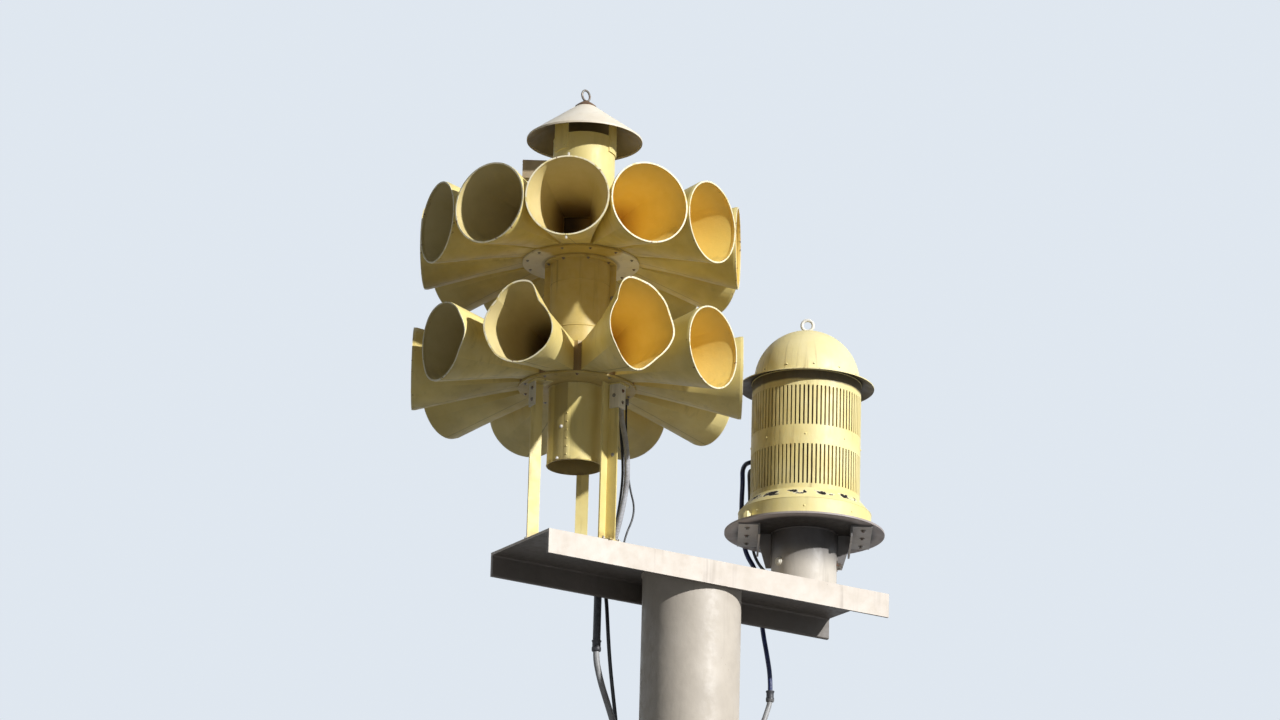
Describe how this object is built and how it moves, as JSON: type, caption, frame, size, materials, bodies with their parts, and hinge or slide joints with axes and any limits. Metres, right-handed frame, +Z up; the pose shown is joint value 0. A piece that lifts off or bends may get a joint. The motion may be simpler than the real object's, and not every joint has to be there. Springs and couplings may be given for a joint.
{
  "type": "civil defense siren tower",
  "caption": "Pipe pole on a base plate carrying a channel platform with a two-ring horn siren under a rain hat and a slotted siren under a dome.",
  "frame": {"origin": "centre of the base plate's underside, on the pole's axis at ground level", "axes": "+Z up along the pole, +X along the platform towards the small siren, +Y across the platform"},
  "size_m": [2.1374, 1.3898, 9.0015],
  "materials": {
    "box_grey": "plain grey enamel",
    "cable_black": "black cable jacket",
    "cable_blue": "dark blue cable jacket",
    "conduit_grey": "grey conduit jacket",
    "core_dark": "dark inside seen through slots",
    "disc_paint": "dull purple grey paint",
    "dome_paint": "chalked white paint with brown runs",
    "eye_steel": "dull galvanised steel, rusty",
    "hat_paint": "chalked cream paint",
    "horn_paint": "faded chrome yellow paint, chalked and rust streaked",
    "hub_paint": "faded yellow paint, dark with dirt",
    "platform_paint": "weathered warm white paint, dirty below",
    "pole_paint": "weathered warm white paint with rust at its foot",
    "siren_paint": "faded yellow cream paint, peeling at the skirt"
  },
  "bodies": {
    "root": {"base_disc": "disc_paint", "base_plate": "pole_paint", "base_ribs": "pole_paint", "body_core": "core_dark", "body_lid": "siren_paint", "body_skirt": "siren_paint", "disc_brackets": "disc_paint", "dome": "dome_paint", "dome_eye": "eye_steel", "drop_conduits": "conduit_grey", "hat_eye": "eye_steel", "hat_straps": "hat_paint", "housing_braces": "hub_paint", "intake_can": "horn_paint", "intake_neck": "hat_paint", "lead_glands": "siren_paint", "leg_clips": "hub_paint", "lower_horn_01": "horn_paint", "lower_horn_02": "horn_paint", "lower_horn_03": "horn_paint", "lower_horn_04": "horn_paint", "lower_horn_05": "horn_paint", "lower_horn_06": "horn_paint", "lower_horn_07": "horn_paint", "lower_horn_08": "horn_paint", "lower_horn_09": "horn_paint", "lower_horn_10": "horn_paint", "lower_hub": "hub_paint", "lower_hub_floor": "hub_paint", "lower_hub_roof": "hub_paint", "motor_conduit": "conduit_grey", "motor_housing": "hub_paint", "motor_lead": "cable_black", "motor_wire": "cable_black", "neck_box": "box_grey", "platform_channel": "platform_paint", "pole": "pole_paint", "rain_hat": "hat_paint", "siren_conduit": "conduit_grey", "siren_lead": "cable_blue", "siren_leg_1": "hub_paint", "siren_leg_2": "hub_paint", "siren_leg_3": "hub_paint", "slotted_body": "siren_paint", "stub_pipe": "siren_paint", "upper_horn_01": "horn_paint", "upper_horn_02": "horn_paint", "upper_horn_03": "horn_paint", "upper_horn_04": "horn_paint", "upper_horn_05": "horn_paint", "upper_horn_06": "horn_paint", "upper_horn_07": "horn_paint", "upper_horn_08": "horn_paint", "upper_horn_09": "horn_paint", "upper_horn_10": "horn_paint", "upper_horn_11": "horn_paint", "upper_horn_12": "horn_paint", "upper_hub": "hub_paint", "upper_hub_floor": "hub_paint", "upper_hub_roof": "hub_paint"}
  },
  "joints": []
}
